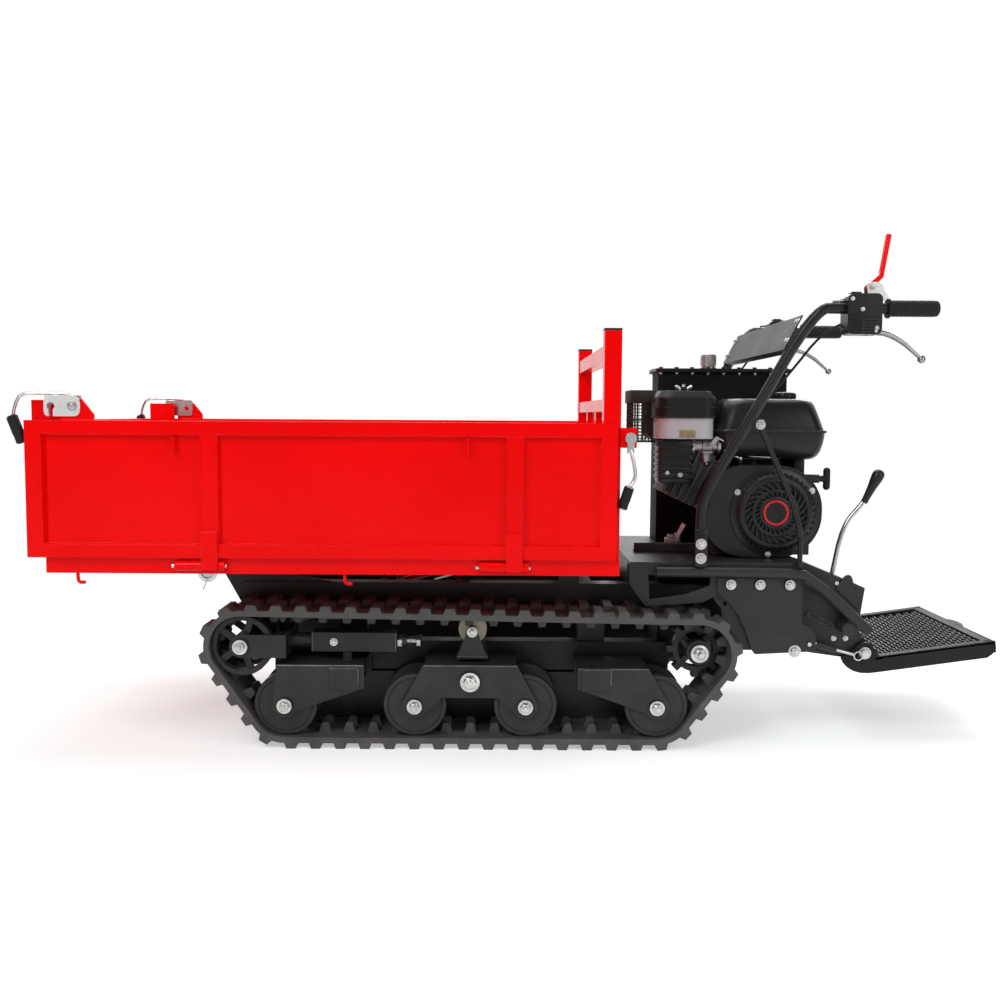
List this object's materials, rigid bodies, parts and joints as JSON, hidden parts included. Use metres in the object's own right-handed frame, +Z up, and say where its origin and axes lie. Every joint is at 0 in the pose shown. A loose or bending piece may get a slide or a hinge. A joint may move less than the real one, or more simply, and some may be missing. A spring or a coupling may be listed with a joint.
{
  "type": "tracked power carrier",
  "caption": "Walk-behind tracked carrier with a tipping drop-side bed, rubber tracks on rollers, petrol engine, handlebar with levers and a folding riding step.",
  "frame": {"origin": "on the ground under the middle of the whole machine", "axes": "+X to the operator and the riding step, +Y to the right side, +Z up"},
  "size_m": [2.3804, 0.928, 1.24],
  "materials": {
    "red_paint": "gloss",
    "track_rubber": "matt",
    "black_rubber": "matt",
    "zinc_plate": "satin",
    "chrome_plate": "polished",
    "cast_alloy": "satin",
    "cream_nylon": "satin",
    "oil_bowl": "gloss",
    "black_cover": "gloss",
    "hot_black": "matt",
    "black_powder": "satin"
  },
  "bodies": {
    "root": {"chassis_frame": "black_powder", "track_frames": "black_powder", "track_left": "track_rubber", "track_right": "track_rubber", "axle_bolts": "zinc_plate", "gearbox": "cast_alloy", "engine_block": "cast_alloy", "fan_housing": "black_cover", "recoil_cover": "black_cover", "fuel_tank": "black_cover", "air_cleaner_bowl": "oil_bowl", "air_cleaner_lid": "black_cover", "muffler": "hot_black", "muffler_guard": "hot_black", "hydraulic_tank": "black_powder", "tank_lid": "black_powder", "handlebar": "black_powder", "handle_grips": "black_rubber", "control_pods": "black_cover", "console_panel": "black_powder", "rear_frame": "black_powder", "control_cables": "black_rubber"},
    "filler_cap": {"filler_cap": "chrome_plate"},
    "bed": {"bed_floor": "red_paint", "headboard": "red_paint", "post_caps": "black_rubber", "hinge_pins": "zinc_plate"},
    "side_gate_left": {"side_gate_left": "red_paint"},
    "side_gate_right": {"side_gate_right": "red_paint"},
    "front_gate": {"front_gate": "red_paint"},
    "latch_front_left": {"latch_front_left": "chrome_plate"},
    "latch_front_right": {"latch_front_right": "chrome_plate"},
    "latch_rear_left": {"latch_rear_left": "chrome_plate"},
    "latch_rear_right": {"latch_rear_right": "chrome_plate"},
    "lift_cylinder": {"lift_cylinder": "black_powder"},
    "lift_rod": {"lift_rod": "chrome_plate"},
    "sprocket_left": {"sprocket_left": "black_powder"},
    "sprocket_right": {"sprocket_right": "black_powder"},
    "idler_left": {"idler_left": "black_powder"},
    "idler_right": {"idler_right": "black_powder"},
    "roller_front_left": {"roller_front_left": "black_powder"},
    "roller_front_right": {"roller_front_right": "black_powder"},
    "roller_bogie_front_left": {"roller_bogie_front_left": "black_powder"},
    "roller_bogie_front_right": {"roller_bogie_front_right": "black_powder"},
    "roller_bogie_rear_left": {"roller_bogie_rear_left": "black_powder"},
    "roller_bogie_rear_right": {"roller_bogie_rear_right": "black_powder"},
    "roller_rear_left": {"roller_rear_left": "black_powder"},
    "roller_rear_right": {"roller_rear_right": "black_powder"},
    "carrier_left": {"carrier_left": "cream_nylon"},
    "carrier_right": {"carrier_right": "cream_nylon"},
    "bogie_left": {"bogie_left": "black_powder"},
    "bogie_right": {"bogie_right": "black_powder"},
    "steering_lever_left": {"steering_lever_left": "chrome_plate"},
    "steering_lever_right": {"steering_lever_right": "chrome_plate"},
    "drive_lever": {"drive_lever": "red_paint"},
    "shift_lever": {"shift_lever": "black_powder"},
    "platform": {"platform": "black_powder"},
    "strut_tube": {"strut_tube": "black_powder"},
    "strut_rod": {"strut_rod": "chrome_plate"},
    "starter_handle": {"starter_handle": "black_rubber"}
  },
  "joints": [
    {"name": "bed_tip", "type": "hinge", "parent": "root", "child": "bed", "pos_m": [-0.764, 0, 0.432], "axis": [0, -1, 0], "range_deg": [0, 45]},
    {"name": "lift_swing", "type": "hinge", "parent": "root", "child": "lift_cylinder", "pos_m": [-0.65, 0, 0.262], "axis": [0, -1, 0], "range_deg": [0, 46.4]},
    {"name": "lift_stroke", "type": "slide", "parent": "lift_cylinder", "child": "lift_rod", "axis": [0.963, 0, 0.2695], "range_m": [0, 0.162]},
    {"name": "side_gate_left_hinge", "type": "hinge", "parent": "bed", "child": "side_gate_left", "pos_m": [-0.469, -0.45, 0.463], "axis": [1, 0, 0], "range_deg": [0, 90]},
    {"name": "side_gate_right_hinge", "type": "hinge", "parent": "bed", "child": "side_gate_right", "pos_m": [-0.469, 0.45, 0.463], "axis": [-1, 0, 0], "range_deg": [0, 90]},
    {"name": "front_gate_hinge", "type": "hinge", "parent": "bed", "child": "front_gate", "pos_m": [-1.136, 0, 0.463], "axis": [0, -1, 0], "range_deg": [0, 90]},
    {"name": "latch_front_left_turn", "type": "hinge", "parent": "side_gate_left", "child": "latch_front_left", "pos_m": [-1.035, -0.44, 0.828], "axis": [0, 1, 0], "range_deg": [0, 50]},
    {"name": "latch_front_right_turn", "type": "hinge", "parent": "side_gate_right", "child": "latch_front_right", "pos_m": [-1.035, 0.44, 0.828], "axis": [0, 1, 0], "range_deg": [0, 50]},
    {"name": "latch_rear_left_turn", "type": "hinge", "parent": "bed", "child": "latch_rear_left", "pos_m": [0.24, -0.436, 0.762], "axis": [0, -1, 0], "range_deg": [0, 60]},
    {"name": "latch_rear_right_turn", "type": "hinge", "parent": "bed", "child": "latch_rear_right", "pos_m": [0.24, 0.436, 0.762], "axis": [0, -1, 0], "range_deg": [0, 60]},
    {"name": "sprocket_left_spin", "type": "hinge", "parent": "root", "child": "sprocket_left", "pos_m": [0.429, -0.257, 0.236], "axis": [0, 1, 0], "continuous": true},
    {"name": "bogie_left_rock", "type": "hinge", "parent": "root", "child": "bogie_left", "pos_m": [-0.13, -0.257, 0.168], "axis": [0, 1, 0], "range_deg": [-4, 4], "deforming": ["track_left"]},
    {"name": "idler_left_spin", "type": "hinge", "parent": "root", "child": "idler_left", "pos_m": [-0.687, -0.257, 0.25], "axis": [0, 1, 0], "continuous": true},
    {"name": "roller_front_left_spin", "type": "hinge", "parent": "root", "child": "roller_front_left", "pos_m": [-0.581, -0.257, 0.1055], "axis": [0, 1, 0], "continuous": true},
    {"name": "roller_rear_left_spin", "type": "hinge", "parent": "root", "child": "roller_rear_left", "pos_m": [0.325, -0.257, 0.1055], "axis": [0, 1, 0], "continuous": true},
    {"name": "roller_bogie_front_left_spin", "type": "hinge", "parent": "bogie_left", "child": "roller_bogie_front_left", "pos_m": [-0.265, -0.257, 0.1055], "axis": [0, 1, 0], "continuous": true},
    {"name": "roller_bogie_rear_left_spin", "type": "hinge", "parent": "bogie_left", "child": "roller_bogie_rear_left", "pos_m": [0.005, -0.257, 0.1055], "axis": [0, 1, 0], "continuous": true},
    {"name": "carrier_left_spin", "type": "hinge", "parent": "root", "child": "carrier_left", "pos_m": [-0.126, -0.257, 0.28197], "axis": [0, 1, 0], "continuous": true},
    {"name": "sprocket_right_spin", "type": "hinge", "parent": "root", "child": "sprocket_right", "pos_m": [0.429, 0.257, 0.236], "axis": [0, 1, 0], "continuous": true},
    {"name": "bogie_right_rock", "type": "hinge", "parent": "root", "child": "bogie_right", "pos_m": [-0.13, 0.257, 0.168], "axis": [0, 1, 0], "range_deg": [-4, 4], "deforming": ["track_right"]},
    {"name": "idler_right_spin", "type": "hinge", "parent": "root", "child": "idler_right", "pos_m": [-0.687, 0.257, 0.25], "axis": [0, 1, 0], "continuous": true},
    {"name": "roller_front_right_spin", "type": "hinge", "parent": "root", "child": "roller_front_right", "pos_m": [-0.581, 0.257, 0.1055], "axis": [0, 1, 0], "continuous": true},
    {"name": "roller_rear_right_spin", "type": "hinge", "parent": "root", "child": "roller_rear_right", "pos_m": [0.325, 0.257, 0.1055], "axis": [0, 1, 0], "continuous": true},
    {"name": "roller_bogie_front_right_spin", "type": "hinge", "parent": "bogie_right", "child": "roller_bogie_front_right", "pos_m": [-0.265, 0.257, 0.1055], "axis": [0, 1, 0], "continuous": true},
    {"name": "roller_bogie_rear_right_spin", "type": "hinge", "parent": "bogie_right", "child": "roller_bogie_rear_right", "pos_m": [0.005, 0.257, 0.1055], "axis": [0, 1, 0], "continuous": true},
    {"name": "carrier_right_spin", "type": "hinge", "parent": "root", "child": "carrier_right", "pos_m": [-0.126, 0.257, 0.28197], "axis": [0, 1, 0], "continuous": true},
    {"name": "steering_lever_left_squeeze", "type": "hinge", "parent": "root", "child": "steering_lever_left", "pos_m": [0.812, -0.36, 1.014], "axis": [0, -1, 0], "range_deg": [0, 25], "stiffness_Nm_per_rad": 1, "springref_deg": -17.19},
    {"name": "steering_lever_right_squeeze", "type": "hinge", "parent": "root", "child": "steering_lever_right", "pos_m": [0.812, 0.36, 1.014], "axis": [0, -1, 0], "range_deg": [0, 25], "stiffness_Nm_per_rad": 1, "springref_deg": -17.19},
    {"name": "drive_lever_fold", "type": "hinge", "parent": "root", "child": "drive_lever", "pos_m": [0.806, -0.36, 1.118], "axis": [0, 1, 0], "range_deg": [0, 60], "stiffness_Nm_per_rad": 1, "springref_deg": -22.92},
    {"name": "shift_lever_throw", "type": "hinge", "parent": "root", "child": "shift_lever", "pos_m": [0.782, -0.2, 0.4], "axis": [0, 1, 0], "range_deg": [-12, 12]},
    {"name": "platform_fold", "type": "hinge", "parent": "root", "child": "platform", "pos_m": [0.858, 0, 0.224], "axis": [0, -1, 0], "range_deg": [0, 80]},
    {"name": "strut_swing", "type": "hinge", "parent": "root", "child": "strut_tube", "pos_m": [0.705, -0.258, 0.2545], "axis": [0, -1, 0], "range_deg": [-4.62, 0.5]},
    {"name": "strut_stroke", "type": "slide", "parent": "strut_tube", "child": "strut_rod", "axis": [0.9643, 0, -0.2647], "range_m": [0, 0.0266]},
    {"name": "starter_pull", "type": "slide", "parent": "root", "child": "starter_handle", "axis": [1, 0, 0], "range_m": [0, 0.14], "stiffness_N_per_m": 30, "springref_m": -0.05},
    {"name": "filler_cap_turn", "type": "hinge", "parent": "root", "child": "filler_cap", "pos_m": [0.537, 0.204, 0.94], "axis": [0, 0, 1], "range_deg": [0, 120]}
  ],
  "couplings": [
    {"joint": "lift_swing", "follows": "bed_tip", "ratio": 0.99698},
    {"joint": "lift_stroke", "follows": "bed_tip", "m_per_rad": 0.20103},
    {"joint": "idler_left_spin", "follows": "sprocket_left_spin", "ratio": 0.98667},
    {"joint": "roller_front_left_spin", "follows": "sprocket_left_spin", "ratio": 0.95484},
    {"joint": "roller_rear_left_spin", "follows": "sprocket_left_spin", "ratio": 0.95484},
    {"joint": "roller_bogie_front_left_spin", "follows": "sprocket_left_spin", "ratio": 0.95484},
    {"joint": "roller_bogie_rear_left_spin", "follows": "sprocket_left_spin", "ratio": 0.95484},
    {"joint": "carrier_left_spin", "follows": "sprocket_left_spin", "ratio": 2.0845},
    {"joint": "idler_right_spin", "follows": "sprocket_right_spin", "ratio": 0.98667},
    {"joint": "roller_front_right_spin", "follows": "sprocket_right_spin", "ratio": 0.95484},
    {"joint": "roller_rear_right_spin", "follows": "sprocket_right_spin", "ratio": 0.95484},
    {"joint": "roller_bogie_front_right_spin", "follows": "sprocket_right_spin", "ratio": 0.95484},
    {"joint": "roller_bogie_rear_right_spin", "follows": "sprocket_right_spin", "ratio": 0.95484},
    {"joint": "carrier_right_spin", "follows": "sprocket_right_spin", "ratio": 2.0845},
    {"joint": "strut_swing", "follows": "platform_fold", "ratio": -0.05144},
    {"joint": "strut_stroke", "follows": "platform_fold", "m_per_rad": 0.017609}
  ]
}
